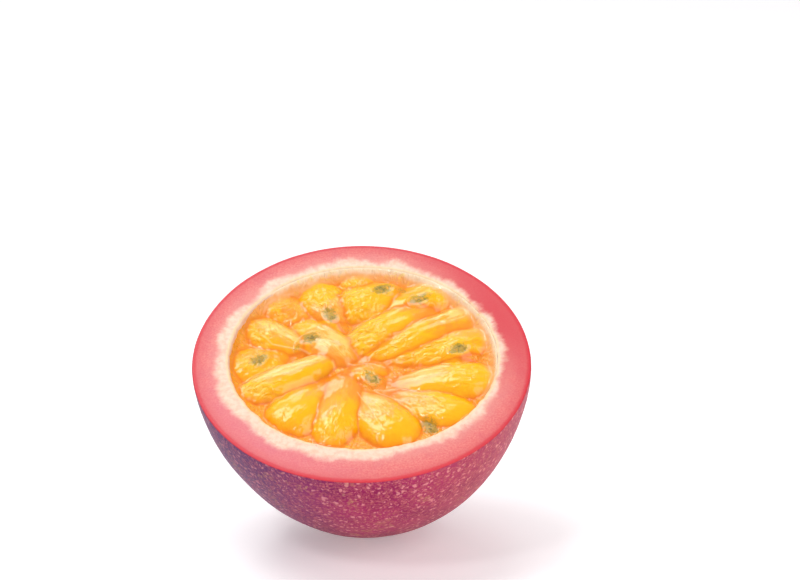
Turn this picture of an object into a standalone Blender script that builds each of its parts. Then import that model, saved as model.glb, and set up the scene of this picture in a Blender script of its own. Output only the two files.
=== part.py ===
"""Half a passion fruit, cut across its middle: a thick rind cup, the pulp of juice sacs in it, and the seeds that show.

The row frame has +Z up and its origin in the middle of the small flat spot that the fruit rests on. The cut face
leans towards -Y. Everything is first shaped in the fruit's own frame, where the cut plane is z = 0, the fruit's
axis is z and its pole is below, and an empty then leans it over and sets it down.
"""

import math
import random

import bmesh
import bpy
from mathutils import Matrix, Vector

MM = 0.001

# The fruit: half of an egg-shaped body, cut at its widest place. Its outline is an ellipse at a fullness of 2 and
# more pointed below that, and its pole lies a little to the right of the cut face's middle
EQUATOR_RADIUS = 26.0 * MM
POLE_DEPTH = 33.2 * MM
POLE_SHIFT = 1.4 * MM
FULLNESS = 1.75
LEAN = math.radians(30.0)
FLAT_SPOT_DEPTH = 0.7 * MM
RIM_ROUNDING = 0.3 * MM
SWELL_TWO_SIDED = 0.008
SWELL_THREE_SIDED = 0.005

# The stem scar at the pole: a dimple with a low button in it
DIMPLE_RADIUS = 4.6 * MM
DIMPLE_DEPTH = 0.9 * MM
SCAR_RADIUS = 1.6 * MM
SCAR_HEIGHT = 0.5 * MM

# The cavity, a little off centre, so that the rind is thickest towards the front
CAVITY_RADIUS_X = 20.5 * MM
CAVITY_RADIUS_Y = 19.8 * MM
CAVITY_DEPTH = 27.6 * MM
CAVITY_CENTRE = Vector((0.2 * MM, 0.7 * MM, 0.0))
LIP_ROUNDING = 0.6 * MM
CUTTER_RISE = 2.0 * MM

# The pulp, whose big sacs lie on a bed of small ones
PULP_GAP = 0.35 * MM
BED_LEVEL = -4.35 * MM
SMALL_SACS = 40
SMALL_SAC_CREST = (-3.6 * MM, -2.7 * MM)
SMALL_SAC_LENGTH = (5.0 * MM, 7.0 * MM)
SMALL_SAC_WIDTH = (3.4 * MM, 4.4 * MM)
SMALL_SAC_SEED = 7
GOLDEN_ANGLE = math.pi * (3 - math.sqrt(5))

# Each big sac, in millimetres on the cut plane: its end at the wall, its end at the middle, its width and
# height, how far its back is below the cut plane at each of these ends, how much plumper the outer end is
# (negative: the inner end), and how far its middle bows to the left of the way from inner to outer end
SACS = {
    "front_left": ((-12.6, -12.8), (-3.4, -0.6), 9.2, 6.4, (0.6, 1.0), 0.5, 0.2),
    "front_middle": ((-5.2, -16.4), (-2.4, -1.2), 7.9, 6.2, (0.6, 1.0), 0.1, 0.2),
    "front_right": ((7.2, -15.9), (-1.4, -4.0), 9.0, 6.6, (0.5, 0.9), 0.3, -0.3),
    "right_front": ((17.2, -11.0), (1.9, -4.2), 7.6, 6.0, (0.7, 1.2), 0.45, -0.3),
    "right": ((21.4, -3.2), (2.3, -3.4), 8.3, 6.8, (0.4, 0.9), 0.4, 0.5),
    "right_thin": ((21.0, 6.5), (2.6, 0.8), 6.9, 5.6, (0.7, 1.1), 0.35, 0.3),
    "right_back": ((19.0, 12.2), (0.6, 2.8), 7.1, 6.0, (0.5, 0.8), 0.15, -0.3),
    "back_right": ((13.8, 15.6), (-2.2, 4.6), 7.4, 6.2, (0.8, 0.7), -0.1, -0.3),
    "back_right_outer": ((16.0, 16.8), (1.6, 11.4), 7.6, 6.4, (0.35, 1.0), 0.3, 0.8),
    "back": ((10.6, 18.6), (-3.2, 12.8), 9.0, 7.2, (0.7, 0.45), -0.35, 0.3),
    "back_small": ((1.8, 20.4), (-4.4, 17.2), 6.2, 4.6, (1.2, 1.2), 0.2, 0.0),
    "back_left": ((-8.4, 18.8), (-3.0, 10.0), 8.3, 6.4, (0.7, 0.85), 0.05, 0.0),
    "left_back_outer": ((-16.0, 14.8), (-7.4, 11.2), 7.6, 5.4, (1.2, 1.2), 0.2, 0.0),
    "left_back": ((-11.6, 12.9), (-2.0, 2.2), 8.3, 6.6, (1.4, 0.7), -0.2, 0.6),
    "left_outer": ((-19.0, 10.0), (-7.4, 4.2), 7.1, 5.8, (1.1, 1.1), 0.2, 0.3),
    "left": ((-21.4, -0.6), (-9.6, 3.4), 9.2, 6.0, (1.3, 1.6), 0.25, 0.0),
    "left_front": ((-19.0, -6.2), (-4.2, 2.6), 6.4, 6.0, (0.8, 0.5), 0.1, 0.5),
    "middle": ((4.6, -0.4), (-2.6, -0.8), 4.8, 4.2, (1.9, 2.2), 0.0, 0.0),
}
SAC_SEGMENTS, SAC_RINGS = 16, 10
SMALL_SEGMENTS, SMALL_RINGS = 10, 7
BED_SEGMENTS = 32

# The seeds that show through or between the sacs: place on the cut plane in millimetres, and heading in degrees
SEEDS = {
    "seed_left": ((-16.0, 1.1), 50),
    "seed_left_back": ((-7.8, 5.6), 30),
    "seed_back_left": ((-4.9, 10.7), -62),
    "seed_back": ((3.4, 16.4), 20),
    "seed_back_right": ((9.2, 13.9), 26),
    "seed_right": ((15.2, 2.9), 18),
    "seed_middle": ((1.5, -2.2), -50),
    "seed_front_right": ((10.3, -12.6), -50),
}
SEED_LENGTH, SEED_WIDTH, SEED_THICKNESS = 5.2 * MM, 3.4 * MM, 2.4 * MM
SEED_TAPER = 0.25
SEED_PROUD = 0.35 * MM
SEED_GAP = 0.3 * MM
SEED_SEGMENTS, SEED_RINGS = 12, 8

# Colour, roughness and metallic value of each piece
LOOKS = {
    "rind": ((0.42, 0.06, 0.13, 1.0), 0.45, 0.0),
    "pulp": ((0.95, 0.46, 0.03, 1.0), 0.2, 0.0),
    "seed": ((0.05, 0.045, 0.02, 1.0), 0.35, 0.0),
}


def new_collection(name):
    collection = bpy.data.collections.new(name)
    bpy.context.scene.collection.children.link(collection)
    return collection


def material(name):
    colour, roughness, metallic = LOOKS[name]
    made = bpy.data.materials.get(name) or bpy.data.materials.new(name)
    made.use_nodes = True
    shader = made.node_tree.nodes["Principled BSDF"]
    shader.inputs["Base Color"].default_value = colour
    shader.inputs["Roughness"].default_value = roughness
    shader.inputs["Metallic"].default_value = metallic
    return made


def object_from(name, bm, collection):
    mesh = bpy.data.meshes.new(name)
    bm.to_mesh(mesh)
    bm.free()
    mesh.shade_smooth()
    made = bpy.data.objects.new(name, mesh)
    collection.objects.link(made)
    return made


def as_cutter(obj):
    obj.hide_render = True
    obj.display_type = "WIRE"


def applied(obj):
    """The object with its modifiers made into its mesh."""
    graph = bpy.context.evaluated_depsgraph_get()
    mesh = bpy.data.meshes.new_from_object(obj.evaluated_get(graph))
    obj.modifiers.clear()
    obj.data = mesh
    return obj


def swell(x, y):
    """How much the fruit stands out here beyond a perfectly round one."""
    angle = math.atan2(y, x)
    return 1 + SWELL_TWO_SIDED * math.cos(2 * angle - 0.6) + SWELL_THREE_SIDED * math.cos(3 * angle + 1.1)


def turned(name, profile, steps, collection, place):
    """A profile of (radius, height) points turned about z, with each of its points then moved by place()."""
    bm = bmesh.new()
    points = [bm.verts.new((radius, 0, height)) for radius, height in profile]
    for first, second in zip(points, points[1:]):
        bm.edges.new((first, second))
    made = object_from(name, bm, collection)
    screw = made.modifiers.new("turn", "SCREW")
    screw.steps = screw.render_steps = steps
    screw.use_merge_vertices = True
    screw.merge_threshold = 0.00001
    applied(made)
    for vertex in made.data.vertices:
        vertex.co = place(vertex.co)
    return made


def arc(radius, depth, start, end, count):
    """Points on the outline of this radius and depth, from one angle below the cut plane to another, in degrees."""
    angles = [math.radians(start + (end - start) * i / (count - 1)) for i in range(count)]
    power = 2 / FULLNESS
    return [(radius * math.cos(a) ** power, -depth * math.sin(a) ** power) for a in angles]


def shift(height):
    """How far the fruit's axis has moved to the right at this height below the cut plane."""
    return POLE_SHIFT * max(0.0, -height) / POLE_DEPTH


def scar_rise(radius):
    """How far the stem scar lifts the surface above the plain outline at this distance from the axis."""
    dimple = DIMPLE_DEPTH * (0.5 + 0.5 * math.cos(math.pi * min(1.0, radius / DIMPLE_RADIUS)))
    button = SCAR_HEIGHT * (0.5 + 0.5 * math.cos(math.pi * min(1.0, radius / SCAR_RADIUS)))
    return dimple - button


def make_fruit_body(collection):
    """The half fruit as one solid, down its outside from the cut face to the pole."""
    rim = [
        (0.0, 0.0),
        (EQUATOR_RADIUS - RIM_ROUNDING, 0.0),
        (EQUATOR_RADIUS - 0.3 * RIM_ROUNDING, -0.3 * RIM_ROUNDING),
    ]
    side = arc(EQUATOR_RADIUS, POLE_DEPTH, 0.9, 74, 20)
    scar = arc(EQUATOR_RADIUS, POLE_DEPTH, 76, 90, 10)
    scar[-1] = (0.0, -POLE_DEPTH)
    profile = rim + [(r, z + scar_rise(r)) for r, z in side + scar]

    def place(co):
        wider = swell(co.x, co.y)
        return Vector((co.x * wider + shift(co.z), co.y * wider, co.z))

    return turned("rind", profile, 72, collection, place)


def make_cavity(name, inset, collection, with_lip):
    """The cavity's shape, this much smaller all round, rising straight through the cut plane."""
    depth = CAVITY_DEPTH - inset
    lip = [(0.0, CUTTER_RISE), (1.0, CUTTER_RISE)]
    start = 0.0
    if with_lip:
        flare = LIP_ROUNDING / CAVITY_RADIUS_X
        lip = [(0.0, CUTTER_RISE), (1 + flare, CUTTER_RISE), (1 + flare, 0.0)]
        lip.append((1 + 0.35 * flare, -0.3 * LIP_ROUNDING))
        start = math.degrees(math.asin((LIP_ROUNDING / depth) ** (FULLNESS / 2)))
    wall = arc(1.0, depth, start, 90, 16)
    wall[-1] = (0.0, -depth)

    def place(co):
        wider = swell(co.x, co.y)
        across = Vector((co.x * (CAVITY_RADIUS_X - inset), co.y * (CAVITY_RADIUS_Y - inset), 0))
        return CAVITY_CENTRE + across * wider + Vector((shift(co.z), 0, co.z))

    return turned(name, lip + wall, 56, collection, place)


def unit_sphere(segments, rings):
    """A sphere of radius 1 about the origin with one point at each pole."""
    bm = bmesh.new()
    bmesh.ops.create_uvsphere(bm, u_segments=segments, v_segments=rings, radius=1.0)
    bmesh.ops.remove_doubles(bm, verts=bm.verts, dist=0.001)
    return bm


def sac_girth(along, plumpness):
    """A sac's half thickness, from 0 to 1, at a place along it that runs from -1 to 1; its plump end is at 1."""
    power = abs(plumpness) * 1.4
    if plumpness < 0:
        along = -along
    widest = power / (1 + power)
    full = math.sqrt(1 - widest**2) * ((1 + widest) / 2) ** power
    return math.sqrt(max(0.0, 1 - along**2)) * (max(0.0, 1 + along) / 2) ** power / full


def sac_spine(sac, along):
    """The middle of a sac's cross-section, its sideways direction there and its back's height, in metres."""
    outer, inner, _, height, below, _, bow = sac
    outer, inner = Vector(outer) * MM, Vector(inner) * MM
    way = (outer - inner).normalized()
    side = Vector((-way.y, way.x))
    share = (along + 1) / 2
    middle = inner.lerp(outer, share) + side * bow * MM * (1 - along**2)
    back = -(below[1] + (below[0] - below[1]) * share) * MM
    return middle, side, back - height * MM / 2


def make_sac(name, sac, segments, rings, collection):
    """A juice sac: a sphere drawn out along the sac's spine, with its poles at the two ends."""
    _, _, width, height, _, plumpness, _ = sac
    bm = unit_sphere(segments, rings)
    for vertex in bm.verts:
        across, up, along = vertex.co
        around = math.hypot(across, up)
        middle, side, level = sac_spine(sac, along)
        girth = sac_girth(along, plumpness) / around if around > 1e-6 else 0.0
        flat = middle + side * (across * girth * width * MM / 2)
        vertex.co = (flat.x, flat.y, level + up * girth * height * MM / 2)
    return object_from(name, bm, collection)


def small_sacs():
    """The sacs of the bed, spread evenly over the cavity by the golden angle, each pointing at the middle."""
    draw = random.Random(SMALL_SAC_SEED)
    for index in range(SMALL_SACS):
        reach = math.sqrt((index + 0.5) / SMALL_SACS) * 0.93
        angle = index * GOLDEN_ANGLE + draw.uniform(-0.15, 0.15)
        centre = CAVITY_CENTRE.xy + Vector(
            (math.cos(angle) * CAVITY_RADIUS_X * reach, math.sin(angle) * CAVITY_RADIUS_Y * reach)
        )
        heading = angle + draw.uniform(-0.5, 0.5)
        half = Vector((math.cos(heading), math.sin(heading))) * draw.uniform(*SMALL_SAC_LENGTH) / 2
        crest = -draw.uniform(*SMALL_SAC_CREST) / MM
        width = draw.uniform(*SMALL_SAC_WIDTH) / MM
        yield ((centre + half) / MM, (centre - half) / MM, width, width, (crest, crest), 0.2, 0.0)


def top_of_pulp(x, y):
    """The height of the highest sac at a place on the cut plane, in metres."""
    highest = BED_LEVEL
    for sac in (*SACS.values(), *small_sacs()):
        outer, inner = Vector(sac[0]) * MM, Vector(sac[1]) * MM
        length = (outer - inner).length
        along = ((Vector((x, y)) - inner).dot(outer - inner) / length**2) * 2 - 1
        if abs(along) >= 1:
            continue
        middle, side, level = sac_spine(sac, along)
        offset = (Vector((x, y)) - middle).dot(side) / (sac[2] * MM / 2)
        girth = sac_girth(along, sac[5])
        if abs(offset) < girth:
            highest = max(highest, level + math.sqrt(girth**2 - offset**2) * sac[3] * MM / 2)
    return highest


def make_seed(name, place, heading, grown, collection):
    """A flat seed, blunt at one end, set into the pulp with its face a little proud, or grown as its pocket."""
    bm = unit_sphere(SEED_SEGMENTS, SEED_RINGS)
    x, y = place[0] * MM, place[1] * MM
    level = top_of_pulp(x, y) + SEED_PROUD - SEED_THICKNESS / 2
    turn = Matrix.Rotation(math.radians(heading), 4, "Z")
    for vertex in bm.verts:
        across, up, along = vertex.co
        narrower = 1 + SEED_TAPER * along
        shaped = Vector(
            (
                along * (SEED_LENGTH / 2 + grown),
                across * (SEED_WIDTH / 2 + grown) * narrower,
                up * (SEED_THICKNESS / 2 + grown),
            )
        )
        vertex.co = turn @ shaped + Vector((x, y, level))
    return object_from(name, bm, collection)


def combine(obj, operation, other, solver="EXACT"):
    """A Boolean of obj with an object or with a whole collection."""
    modifier = obj.modifiers.new(operation.lower(), "BOOLEAN")
    modifier.operation = operation
    modifier.solver = solver
    if isinstance(other, bpy.types.Collection):
        modifier.operand_type = "COLLECTION"
        modifier.collection = other
    else:
        modifier.object = other
    return applied(obj)


def islands_of(bm):
    """The connected sets of vertices of a mesh."""
    unseen = set(bm.verts)
    while unseen:
        island, front = set(), [unseen.pop()]
        while front:
            vertex = front.pop()
            island.add(vertex)
            near = {edge.other_vert(vertex) for edge in vertex.link_edges} & unseen
            unseen -= near
            front.extend(near)
        yield island


def keep_outer_surface(obj):
    """Fills the hollows that joining sealed, and drops loose scraps: only the largest surface stays."""
    bm = bmesh.new()
    bm.from_mesh(obj.data)
    islands = sorted(islands_of(bm), key=len)
    for island in islands[:-1]:
        bmesh.ops.delete(bm, geom=list(island), context="VERTS")
    bm.to_mesh(obj.data)
    bm.free()


def make_rind(fruit, cutters):
    rind = make_fruit_body(fruit)
    cavity = make_cavity("cavity", 0.0, cutters, with_lip=True)
    as_cutter(cavity)
    combine(rind, "DIFFERENCE", cavity)
    rind.data.materials.append(material("rind"))
    return rind


def make_bed(collection):
    """A block that is wider and deeper than the cavity, with its top at the level of the bed."""
    bm = bmesh.new()
    lift = Matrix.Translation((0, 0, BED_LEVEL - CAVITY_DEPTH / 2))
    bmesh.ops.create_cone(
        bm,
        cap_ends=True,
        segments=BED_SEGMENTS,
        radius1=EQUATOR_RADIUS,
        radius2=EQUATOR_RADIUS,
        depth=CAVITY_DEPTH,
        matrix=lift,
    )
    return object_from("pulp", bm, collection)


def make_pulp(fruit, cutters):
    """The bed, with every sac joined to it, trimmed clear of the cavity's wall and hollowed for the seeds."""
    pulp = make_bed(fruit)
    sacs = new_collection("sacs")
    for name, sac in SACS.items():
        as_cutter(make_sac("sac_" + name, sac, SAC_SEGMENTS, SAC_RINGS, sacs))
    for index, sac in enumerate(small_sacs()):
        as_cutter(make_sac(f"small_sac_{index}", sac, SMALL_SEGMENTS, SMALL_RINGS, sacs))
    combine(pulp, "UNION", sacs)
    limit = make_cavity("pulp_limit", PULP_GAP, cutters, with_lip=False)
    as_cutter(limit)
    combine(pulp, "INTERSECT", limit)
    pockets = new_collection("pockets")
    for name, (place, heading) in SEEDS.items():
        as_cutter(make_seed("pocket_of_" + name, place, heading, SEED_GAP, pockets))
    combine(pulp, "DIFFERENCE", pockets)
    keep_outer_surface(pulp)
    for collection in (sacs, pockets):
        for obj in list(collection.objects):
            bpy.data.objects.remove(obj)
        bpy.data.collections.remove(collection)
    pulp.data.materials.append(material("pulp"))
    return pulp


def make_seeds(fruit):
    seeds = [make_seed(name, place, heading, 0.0, fruit) for name, (place, heading) in SEEDS.items()]
    for seed in seeds:
        seed.data.materials.append(material("seed"))
    return seeds


def set_down(pieces, fruit):
    """Leans every piece by its parent empty, with the middle of the flat spot at the origin."""
    power = FULLNESS / (FULLNESS - 1)
    across, down = EQUATOR_RADIUS * math.sin(LEAN), POLE_DEPTH * math.cos(LEAN)
    lowest = (across**power + down**power) ** (1 / power)
    radius = EQUATOR_RADIUS * (across / lowest) ** (power - 1)
    depth = POLE_DEPTH * (down / lowest) ** (power - 1)
    axis = bpy.data.objects.new("fruit_axis", None)
    fruit.objects.link(axis)
    axis.location = (
        -shift(-depth),
        radius * math.cos(LEAN) - depth * math.sin(LEAN),
        lowest - FLAT_SPOT_DEPTH,
    )
    axis.rotation_euler = (LEAN, 0.0, 0.0)
    for piece in pieces:
        piece.parent = axis
    bpy.context.view_layer.update()


def cut_flat_spot(rind, cutters):
    """Takes off what lies below the surface that the fruit rests on."""
    bm = bmesh.new()
    bmesh.ops.create_cube(bm, size=1.0)
    slab = object_from("flat_spot_cutter", bm, cutters)
    slab.scale = (3 * EQUATOR_RADIUS, 3 * EQUATOR_RADIUS, EQUATOR_RADIUS)
    slab.location = (0.0, 0.0, -EQUATOR_RADIUS / 2)
    as_cutter(slab)
    combine(rind, "DIFFERENCE", slab)


def main():
    for obj in list(bpy.data.objects):
        bpy.data.objects.remove(obj)
    fruit = new_collection("passion_fruit_half")
    cutters = new_collection("cutters")
    rind = make_rind(fruit, cutters)
    pulp = make_pulp(fruit, cutters)
    seeds = make_seeds(fruit)
    set_down([rind, pulp, *seeds], fruit)
    cut_flat_spot(rind, cutters)


main()
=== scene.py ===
"""The looks of half a passion fruit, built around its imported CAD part.

Shapes are worked out in millimetres in the fruit's own frame, where the cut plane is z = 0, the fruit's axis
is z and its pole is below. to_row() leans them over and sets them down as the CAD part is.
"""

import itertools
import math

import bpy
import numpy as np
from mathutils import Matrix, Vector


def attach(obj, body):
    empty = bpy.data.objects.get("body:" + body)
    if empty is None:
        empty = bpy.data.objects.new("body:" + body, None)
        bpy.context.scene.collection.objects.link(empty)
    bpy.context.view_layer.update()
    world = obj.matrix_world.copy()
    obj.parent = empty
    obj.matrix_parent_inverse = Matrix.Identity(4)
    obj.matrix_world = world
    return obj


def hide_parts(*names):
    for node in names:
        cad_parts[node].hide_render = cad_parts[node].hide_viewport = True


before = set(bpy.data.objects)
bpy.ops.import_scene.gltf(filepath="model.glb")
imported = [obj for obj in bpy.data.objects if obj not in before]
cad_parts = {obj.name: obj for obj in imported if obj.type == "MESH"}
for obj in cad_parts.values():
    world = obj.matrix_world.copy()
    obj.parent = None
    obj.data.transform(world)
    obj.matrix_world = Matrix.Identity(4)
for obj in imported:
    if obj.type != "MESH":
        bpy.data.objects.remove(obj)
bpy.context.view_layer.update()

MM = 0.001

# The fruit, as in the CAD part
EQUATOR_RADIUS = 26.0
POLE_DEPTH = 33.2
POLE_SHIFT = 1.4
FULLNESS = 1.75
LEAN = math.radians(30.0)
FLAT_SPOT_DEPTH = 0.7
SWELL_TWO_SIDED = 0.008
SWELL_THREE_SIDED = 0.005
DIMPLE_RADIUS = 4.6
DIMPLE_DEPTH = 0.9
SCAR_RADIUS = 1.6
SCAR_HEIGHT = 0.5
CAVITY_RADIUS_X = 20.5
CAVITY_RADIUS_Y = 19.8
CAVITY_DEPTH = 27.6
CAVITY_CENTRE = np.array([0.2, 0.7])

# The rind's mesh: points round it, and along its outline from the outer pole to the inner one
RIND_STEPS = 480
SKIN_ROWS = 108
RIM_ROWS = 5
FACE_ROWS = 32
LIP_ROWS = 6
WALL_ROWS = 24
WALL_DEPTH = 8.0
BOWL_ROWS = 8
RIM_ROUNDING = 0.35
LIP_ROUNDING = 0.5

# Distances given to points beyond the face, the angles in radians by which the rows stay short of the poles,
# and the depth over which the lip's raggedness fades down the wall
FAR_FROM_EDGE, FAR_FROM_LIP = 6.5, 6.0
OUTER_POLE_GAP, INNER_POLE_GAP = 0.004, 0.01
RAGGED_DEPTH = 1.2

# The stretch of the lip that is torn, in degrees round the axis
TORN_MIDDLE, TORN_WIDTH = 235, 26

# The pulp's mesh: points along each side of the grid that is drawn out into a disc, and rows down its
# underside
PULP_GRID = 285
UNDERSIDE_ROWS = 6

# The bed's level, how far the jelly rises from it at the near and the far wall and over how wide a strip, how
# wide the lining is, how far the pulp reaches into the rind, and the way to the far, right side
BED_LEVEL = -2.7
WALL_JELLY = 1.7
FAR_WALL_JELLY = 2.5
JELLY_WIDTH = 1.1
LINING_WIDTH = 0.9
WALL_OVERLAP = 0.12
FAR_RIGHT = np.array([0.45, 0.89])

# Each big sac, as in the CAD part: its end at the wall, its end at the middle, its width and height, how far
# its back is below the cut plane at each of these ends, how much plumper the outer end is (negative: the
# inner end), and how far its middle bows to the left of the way from inner to outer end
SACS = {
    "front_left": ((-12.6, -12.8), (-3.4, -0.6), 9.2, 6.4, (0.6, 1.0), 0.5, 0.2),
    "front_middle": ((-5.2, -16.4), (-2.4, -1.2), 7.9, 6.2, (0.6, 1.0), 0.1, 0.2),
    "front_right": ((7.2, -15.9), (-1.4, -4.0), 9.0, 6.6, (0.5, 0.9), 0.3, -0.3),
    "right_front": ((17.2, -11.0), (1.9, -4.2), 7.6, 6.0, (0.7, 1.2), 0.45, -0.3),
    "right": ((21.4, -3.2), (2.3, -3.4), 8.3, 6.8, (0.4, 0.9), 0.4, 0.5),
    "right_thin": ((21.0, 6.5), (2.6, 0.8), 6.9, 5.6, (0.7, 1.1), 0.35, 0.3),
    "right_back": ((19.0, 12.2), (0.6, 2.8), 7.1, 6.0, (0.5, 0.8), 0.15, -0.3),
    "back_right": ((13.8, 15.6), (-2.2, 4.6), 7.4, 6.2, (0.8, 0.7), -0.1, -0.3),
    "back_right_outer": ((16.0, 16.8), (1.6, 11.4), 7.6, 6.4, (0.35, 1.0), 0.3, 0.8),
    "back": ((10.6, 18.6), (-3.2, 12.8), 9.0, 7.2, (0.7, 0.45), -0.35, 0.3),
    "back_small": ((1.8, 20.4), (-4.4, 17.2), 6.2, 4.6, (1.2, 1.2), 0.2, 0.0),
    "back_left": ((-8.4, 18.8), (-3.0, 10.0), 8.3, 6.4, (0.7, 0.85), 0.05, 0.0),
    "left_back_outer": ((-16.0, 14.8), (-7.4, 11.2), 7.6, 5.4, (1.2, 1.2), 0.2, 0.0),
    "left_back": ((-11.6, 12.9), (-2.0, 2.2), 8.3, 6.6, (1.4, 0.7), -0.2, 0.6),
    "left_outer": ((-19.0, 10.0), (-7.4, 4.2), 7.1, 5.8, (1.1, 1.1), 0.2, 0.3),
    "left": ((-21.4, -0.6), (-9.6, 3.4), 9.2, 6.0, (1.3, 1.6), 0.25, 0.0),
    "left_front": ((-19.0, -6.2), (-4.2, 2.6), 6.4, 6.0, (0.8, 0.5), 0.1, 0.5),
    "middle": ((4.6, -0.4), (-2.6, -0.8), 4.8, 4.2, (1.9, 2.2), 0.0, 0.0),
}

# How each big sac looks: how golden it is at its inner and its outer end (0 is amber), the pale film on its
# crest, partly its own colour and partly a painted reflection of the lights, as (place along the sac from -1
# to
# 1, half length, strength), and its wet crinkles in the same way
SAC_LOOKS = {
    "front_left": ((0.1, 1.0), (-0.4, 0.6, 0.45), (0.9, 0.3, 0.3)),
    "front_middle": ((0.1, 0.9), (-0.3, 0.7, 0.45), (0.7, 0.4, 0.5)),
    "front_right": ((0.4, 1.0), (-0.4, 0.7, 0.85), (0.2, 0.3, 0.3)),
    "right_front": ((0.3, 1.0), (-0.4, 0.6, 0.7), (0.0, 0.4, 0.4)),
    "right": ((0.6, 1.0), (-0.35, 0.5, 0.75), (0.4, 0.3, 0.3)),
    "right_thin": ((1.3, 0.5), (0.7, 0.35, 0.4), (-0.35, 0.6, 1.0)),
    "right_back": ((0.8, 0.3), (0.62, 0.28, 1.0), (-0.7, 0.5, 0.9)),
    "back_right": ((1.0, 0.2), (0.62, 0.28, 0.95), (-0.7, 0.5, 1.0)),
    "back_right_outer": ((1.0, 0.8), (0.3, 0.3, 0.3), (0.6, 0.3, 0.5)),
    "back": ((1.0, 0.3), (0.5, 0.5, 0.3), (-0.6, 0.5, 1.0)),
    "back_small": ((0.9, 0.5), (0.0, 0.3, 0.2), (-0.2, 0.6, 0.6)),
    "back_left": ((0.1, 1.0), (-0.5, 0.5, 0.7), (0.2, 0.5, 0.5)),
    "left_back_outer": ((0.3, 0.4), (0.0, 0.6, 0.4), (0.2, 0.7, 0.6)),
    "left_back": ((0.3, 1.0), (-0.4, 0.5, 0.95), (0.7, 0.4, 0.6)),
    "left_outer": ((0.8, 0.7), (0.0, 0.6, 0.9), (0.6, 0.6, 0.8)),
    "left": ((0.5, 0.7), (0.1, 0.5, 0.3), (0.2, 0.6, 0.3)),
    "left_front": ((0.7, 0.9), (-0.35, 0.75, 1.0), (0.75, 0.4, 0.9)),
    "middle": ((0.7, 0.6), (0.2, 0.9, 0.6), (0.0, 0.8, 0.5)),
}
SAC_ROUNDNESS = 2.05
SAC_BLUNTNESS = 2.2
SAC_SPREAD = 1.06
INNER_REACH, OUTER_REACH = 0.1, 0.05
SAC_WARP = 0.45
SAC_WARP_SIZE = 3.2
JOIN_SHARPNESS = 3.6
CREASE_SHADE_WIDTH = 0.3
FIBRE_RISE = 0.018
DENT_RISE = 0.15
CRINKLE_RISE = 0.6
CRINKLE_SIZE = 1.5
# The way on the cut plane to each sac's lit side, where its pale film and the painted reflection on it lie
LIT_SIDE = np.array([-0.4, 0.92])

# Threads of membrane across the sacs, as points on the cut plane
THREADS = (
    ((-0.6, -5.6), (1.2, -9.6), (2.4, -12.6)),
    ((2.0, -4.6), (6.0, -4.4), (8.4, -5.2)),
    ((2.2, -4.8), (5.0, -6.6), (7.6, -8.4)),
    ((-15.6, 6.4), (-14.0, 4.8), (-10.6, 4.0), (-8.0, 3.0)),
    ((8.6, 16.6), (12.0, 17.9), (14.6, 17.0), (16.2, 15.2)),
    ((-2.0, 0.9), (0.6, 1.2), (3.6, 0.2)),
)
THREAD_WIDTH = 0.1
THREAD_RISE = 0.08

# The small sacs of the bed, by the CAD part's rule of the golden angle
SMALL_SACS = 40
GOLDEN_ANGLE = math.pi * (3 - math.sqrt(5))

# The seeds that show: place on the cut plane and heading in degrees, as in the CAD part
SEEDS = {
    "seed_left": ((-16.0, 1.1), 50),
    "seed_left_back": ((-7.8, 5.6), 30),
    "seed_back_left": ((-4.9, 10.7), -62),
    "seed_back": ((3.4, 16.4), 20),
    "seed_back_right": ((9.2, 13.9), 26),
    "seed_right": ((15.2, 2.9), 18),
    "seed_middle": ((1.5, -2.2), -50),
    "seed_front_right": ((10.3, -12.6), -50),
}
SEED_LENGTH, SEED_WIDTH, SEED_THICKNESS = 5.2, 3.4, 2.4
SEED_TAPER = 0.25
SEED_PROUD = 0.1
SEED_SEGMENTS, SEED_RINGS = 56, 36

# Seeds that only show as a faint shade inside a sac: place on the cut plane, size and strength
FAINT_SEEDS = (
    ((-10.2, 4.0), (1.3, 0.9), 0.55),
    ((10.0, -3.4), (0.9, 0.7), 0.45),
    ((6.6, 16.6), (1.6, 1.1), 0.6),
)

# The camera's angles and the studio
FOCAL_MM = 100.0
SENSOR_MM = 36.0
IMAGE_WIDTH, IMAGE_HEIGHT = 800, 580
RIM_CENTRE_PIXEL = (361.5, 357.6)
VIEW_DOWN = math.radians(15.0)
CAMERA_DISTANCE = 0.343
FLOOR_REACH = 6.0
WORLD_STRENGTH = 0.43

# The lights: name, direction from the fruit, distance and size in metres, and radiance
LIGHTS = (
    ("window_left", (-0.34, 0.06, 0.93), 1.2, (0.6, 0.55), 6.1),
    ("lamp_front", (-0.42, -0.52, 0.74), 1.2, (0.2, 0.2), 18.0),
    ("lamp_top", (0.06, 0.2, 0.98), 1.2, (0.3, 0.3), 4.0),
    ("softbox_right", (0.6, -0.6, 0.55), 2.0, (1.4, 1.4), 2.4),
    ("softbox_behind", (-0.2, 0.74, 0.64), 1.6, (0.8, 0.6), 2.2),
)
LIGHT_AIM_HEIGHT = 0.02


# Noise

PRIMES = (73856093, 19349663, 83492791)
SPREAD = np.uint64(0x9E3779B97F4A7C15)
DIRECTIONS = np.random.default_rng(5).normal(size=(256, 3))
DIRECTIONS /= np.linalg.norm(DIRECTIONS, axis=1)[:, None]


def lattice_directions(cells, seed):
    """A unit vector for each cell of a lattice, which looks random and is always the same."""
    mixed = np.full(len(cells), seed + 1, np.uint64) * SPREAD
    for axis, prime in zip(cells.T, PRIMES):
        mixed = (mixed ^ (axis.astype(np.uint64) * np.uint64(prime))) * SPREAD
        mixed ^= mixed >> np.uint64(31)
    return DIRECTIONS[(mixed >> np.uint64(17)) % np.uint64(256)]


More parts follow.
